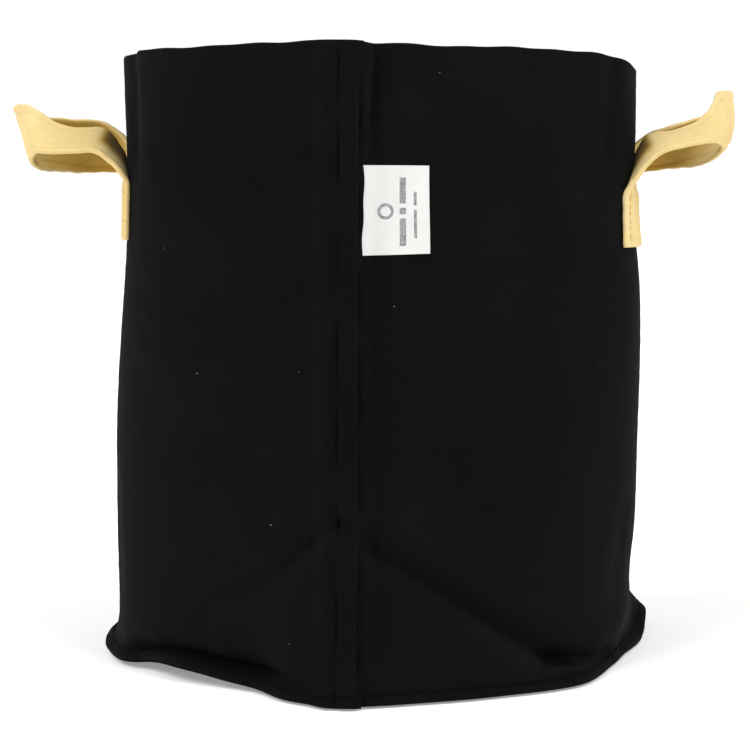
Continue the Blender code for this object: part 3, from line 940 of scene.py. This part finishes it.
def make_seam_stitches():
    """Two rows through the front lap and one round the foot, as separate stitches on both faces."""
    z = np.arange(0.016, HEIGHT - 0.0035, STITCH)
    outside, within = FELT * 1.5 + GAP - 0.00125, -FELT / 2 + 0.0004
    for side, place in (("left", -ROW_OFFSET), ("right", ROW_OFFSET)):
        s = np.full_like(z, place)
        for kind, out, sign in (("topstitch", outside, 1), ("bobbin", within, -1)):
            stitches(f"front_{kind}_stitches_{side}", f"front_seam_{kind}_{side}",
                     wall_point(s, z, out), level_normals(s, z) * sign, "thread_black")
    count = int(GIRTH / STITCH)
    s = GIRTH * np.arange(count) / count
    drop = foot_drop(s / GIRTH)
    facing = plan_normal(s, seam_height(s / GIRTH)) * np.sin(drop)[:, None]
    normal = lifted(facing, np.cos(drop))
    near = from_seam(s)
    lift = (FELT + GAP) * (1 - smooth((np.abs(near) - LAP / 2 - 0.006) / LAP_RAMP))
    lift *= near < LAP / 2 + 0.002
    clear = np.full(count, FELT + FOOT_GAP / 2 - 0.0003)
    above = foot_point(s, np.full(count, 0.35), clear, lift)
    below = foot_point(s, np.full(count, 0.52), -clear)
    for kind, points, sign in (("topstitch", above, 1), ("bobbin", below, -1)):
        stitches(f"base_{kind}_stitches", f"base_seam_{kind}", points, sign * normal,
                 "thread_black", closed=True)


# ---- handles
def side_s(spec, y):
    """The distance round the bag at which the side wall passes through depth y, at a sewn end."""
    s = GIRTH * np.arange(SAMPLES) / SAMPLES
    place = wall_plan(s, np.full(SAMPLES, spec["low"] + TAB_MIDDLE))
    away = np.where(place[:, 0] * spec["sign"] > 0.1, np.abs(place[:, 1] - y), np.inf)
    return s[int(np.argmin(away))]


def tab_row(spec, y, across, z, out=0.0):
    """Points across the sewn end of a strap, flat on the wall; at the front end across runs to +y."""
    s = side_s(spec, y) + across * spec["sign"]
    return wall_point(s, z, FELT / 2 + STRAP_GAP + STRAP_THICK / 2 + out)


def strap_stations(spec, across):
    """Rows of points across the strap, from the cut front end along the loop to the cut rear end."""
    heights = [spec["low"] + rise for rise in TAB_ROWS]
    front = [tab_row(spec, spec["front_y"], across, z) for z in heights]
    rear = [tab_row(spec, STRAP_REAR_Y, -across, z) for z in reversed(heights)]
    loop = []
    share = (across / STRAP_WIDTH + 0.5)[:, None]
    for station in spec["loop"]:
        lower, upper = np.array(station) / TENTHS
        place = lower + share * (upper - lower)
        belly = share * (1 - share) * (4.4 - 3 * share)
        place[:, :1] += belly * spec["bow"] * smooth((place[:, :1] - 0.026) / 0.012)
        loop.append((HINGE_X, 0, HINGE_Z) + place)
    return np.stack(front + [row * (spec["sign"], 1, 1) for row in loop] + rear)


def make_strap(side, spec):
    """One felt strap: sewn end, twisted loop, sewn end. It bends where it leaves the wall."""
    half = STRAP_WIDTH / 2
    across = with_round_edges(steps(-half, half, 0.0011), radius=STRAP_THICK / 2)
    stations = strap_stations(spec, across)
    knots = spans_of(stations)
    total = knots[-1]
    rows = with_round_edges(steps(0, total, 0.0011), radius=STRAP_THICK / 2)
    middle = loft(stations, knots, rows)
    t, w = np.meshgrid(rows, across, indexing="ij")
    # Uneven edges and a slight ripple of the free part
    free = between(t, 0.045, total - 0.045, 0.02)
    ragged = 0.00022 * np.sin(t * 190 + spec["sign"]) + 0.00022 * np.sin(t * 470)
    ripple = 0.0004 * free * np.sin(t * 95 + w * 60) * (w / half)
    normals = grid_normals(middle, False)
    middle = middle + unit(np.gradient(middle, axis=1)) * (ragged * (w / half) ** 9)[..., None]
    middle = middle + normals * ripple[..., None]
    edge = np.minimum.reduce([t, total - t, half - np.abs(w)])
    pressed = -0.0009 * bell(half - np.abs(w) - 0.0052, 0.0009)
    lumps = felt_lumps(middle, 0.0045, 0.00012, 0.0018, 6)
    back = felt_lumps(middle, 0.0042, 0.00012, 0.0019, 8)
    # Painted shade: inside the loop and on the two bends beside the wall; lit lightens it at the
    # loop's outer end
    off_edge = np.clip(edge / 0.0012 - 0.3, 0, 1)
    lit_at, lit = spec["lit"]
    painted_loop_shade = 0.5 * free * off_edge * (1 - lit * bell(t - total / 2 - lit_at, 0.024))
    front_bend, rear_bend = (knots[3], knots[8] + 0.002), (knots[-7], knots[-4])
    near_wall = between(t, *front_bend, 0.006) + between(t, *rear_bend, 0.006)
    painted_bend_shade = near_wall * off_edge * smooth((w / half + 0.55) / 0.7)
    shades = (painted_bend_shade, painted_loop_shade) if spec["sign"] < 0 else (painted_loop_shade, painted_bend_shade)
    strap = felt_sheet(f"handle_{side}_strap", middle, edge, STRAP_THICK, TAN_FELT, lumps + pressed,
                       back + pressed, shades=shades)
    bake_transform(strap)
    finish_piece(strap, None, "strap_tan", *(f"handle_{side}_{part}" for part in STRAP_PARTS))


def box_route(low, half):
    """Evenly spaced places across and up a sewn end, round a box of stitching."""
    high = low + BOX_HEIGHT
    corners = np.array([(half, low), (half, high), (-half, high), (-half, low)])
    route = []
    for start, stop in zip(corners, np.roll(corners, -1, axis=0)):
        count = max(2, round(math.dist(start, stop) / STITCH))
        route += [start + (stop - start) * k / count for k in range(count)]
    return np.array(route).T


def make_tab_stitches(side, spec):
    """A box of stitching on each sewn end, and its other face inside the bag."""
    for end, y in (("front", spec["front_y"]), ("rear", STRAP_REAR_Y)):
        across, z = box_route(spec["low"] + STITCH_INSET, STRAP_WIDTH / 2 - STITCH_INSET)
        s = side_s(spec, y) + across * spec["sign"]
        outer = tab_row(spec, y, across, z, STRAP_THICK / 2 - 0.0001)
        inner = wall_point(s, z, -FELT / 2 + 0.0001)
        for face, node, points, sign in (("box", "stitch", outer, 1), ("back", "bobbin", inner, -1)):
            stitches(f"handle_{side}_{face}_stitches_{end}", f"handle_{side}_{node}_{end}", points,
                     level_normals(s, z) * sign, "thread_tan", closed=True)


# ---- label
def make_label():
    """A woven label, its left edge caught under the raw edge of the lap."""
    total = LABEL_TUCK + LABEL_WIDTH
    height = LABEL_HIGH - LABEL_LOW
    columns, rows = (with_round_edges(steps(0, size, 0.0008), radius=LABEL_THICK / 2)
                     for size in (total, height))
    v, x = np.meshgrid(rows, columns, indexing="ij")
    free = np.clip((x - LABEL_TUCK) / LABEL_WIDTH, 0, 1)
    lift = 0.001 * free ** 2 + 0.0002 * free * np.sin(v * 120 + 1.0)
    slant = 0.0007 * free * (1 - v / height)
    middle = wall_point(LAP / 2 - LABEL_TUCK + x, LABEL_LOW + v + slant, FELT / 2 + 0.0002 + lift)
    edge = np.minimum.reduce([x, total - x, v, height - v])
    weave = 0.00002 * np.sin(x * 9000) * np.sin(v * 9000)
    label = felt_sheet("label_cloth", middle, edge, LABEL_THICK, LABEL_CLOTH, weave, weave,
                       uvs=np.stack([x - LABEL_TUCK, v], -1))
    joint = next(j for j in frame["joints"] if j["child"] == "label_flap")
    seam = Vector(joint["pos_m"])
    near, far = wall_point([LAP / 2, LAP / 2 + 0.01], seam.z)
    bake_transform(label)
    finish_piece(label, None, "label_white", "label")


# ---- loose fibres and lint
def make_lint():
    """A few pale specks of lint clinging to the black felt."""
    places = np.array(LINT_PLACES)
    s, z = places[:, 0] % GIRTH, places[:, 1]
    roots = wall_point(s, z, FELT / 2 + 0.0001)
    rng = np.random.default_rng(5)
    flat = plan_normal(s, z)
    along = np.stack([-flat[:, 1], flat[:, 0], rng.normal(0, 1, len(s))], -1)
    fibres("lint_specks", roots, along, LINT, 0.0017, 0.00032, 11)


def make_fuzz():
    """Fibre ends along the rim and over the outer face of the black felt."""
    rng = np.random.default_rng(3)
    s = rng.uniform(0, GIRTH, RIM_FIBRES)
    top = rim_height(s) - 0.0006
    roots = wall_point(s, top, rng.uniform(-FELT / 2, FELT / 2, RIM_FIBRES) * 0.8)
    plan = plan_normal(s, top)
    sideways = plan * rng.normal(0, 0.6, RIM_FIBRES)[:, None]
    ways = lifted(sideways, np.ones(RIM_FIBRES)) + rng.normal(0, 0.35, (RIM_FIBRES, 3))
    fibres("rim_fuzz", roots, ways, BLACK_FELT, 0.0011, 0.00005, 21)
    s, z = rng.uniform(0, GIRTH, FACE_FIBRES), rng.uniform(0.02, 0.345, FACE_FIBRES)
    roots = wall_point(s, z, FELT / 2 - 0.0002 + lap_offset(s))
    plan = plan_normal(s, z)
    across = np.stack([-plan[:, 1], plan[:, 0]], -1) * rng.normal(0, 1.2, FACE_FIBRES)[:, None]
    ways = lifted(plan * 0.7 + across, rng.normal(0, 1.2, FACE_FIBRES))
    fibres("wall_fuzz", roots, ways, BLACK_FELT, 0.0012, 0.00004, 22)


# ---- stage
def soft_sun(name, turn, height, strength, softness):
    """A broad, distant light: turn is degrees to the right of the front, height above the horizon."""
    data = bpy.data.lights.new(name, "SUN")
    data.energy = strength
    data.angle = math.radians(softness)
    lamp = bpy.data.objects.new(name, data)
    bpy.context.scene.collection.objects.link(lamp)
    lamp.rotation_euler = (math.radians(90 - height), 0, math.radians(turn))


def make_world():
    """A white studio: bright walls at eye level under a dimmer ceiling."""
    world = bpy.data.worlds.new("studio")
    bpy.context.scene.world = world
    world.use_nodes = True
    tree = world.node_tree
    way = add_node(tree, "TexCoord", {}).outputs["Generated"]
    up = add_node(tree, "SeparateXYZ", {"Vector": way}).outputs["Z"]
    strength = add_node(tree, "MapRange", {
        "Value": up, "From Min": WALL_TOP, "From Max": CEILING_LOW, "To Min": WALL_LIGHT,
        "To Max": CEILING_LIGHT})
    set_inputs(tree, tree.nodes["Background"], {
        "Color": (1, 1, 1, 1), "Strength": strength.outputs["Result"]})


def make_stage():
    """A wide pale floor under even, soft white light from both sides."""
    bpy.ops.mesh.primitive_circle_add(vertices=96, radius=14, fill_type="NGON",
                                      location=(0, 0, -0.0002))
    floor = bpy.context.object
    floor.name = "floor"
    floor.data.materials.append(plain_material("floor", grey(0.95), 0.9, FLOOR_GLOW))
    make_world()
    for sun in SUNS:
        soft_sun(*sun)
    bpy.context.scene.view_settings.view_transform = "Standard"


def main():
    make_camera()
    make_wall()
    make_base()
    make_seam_stitches()
    for side, spec in HANDLES.items():
        make_strap(side, spec)
        make_tab_stitches(side, spec)
    make_label()
    make_lint()
    make_fuzz()
    make_stage()


main()

import json
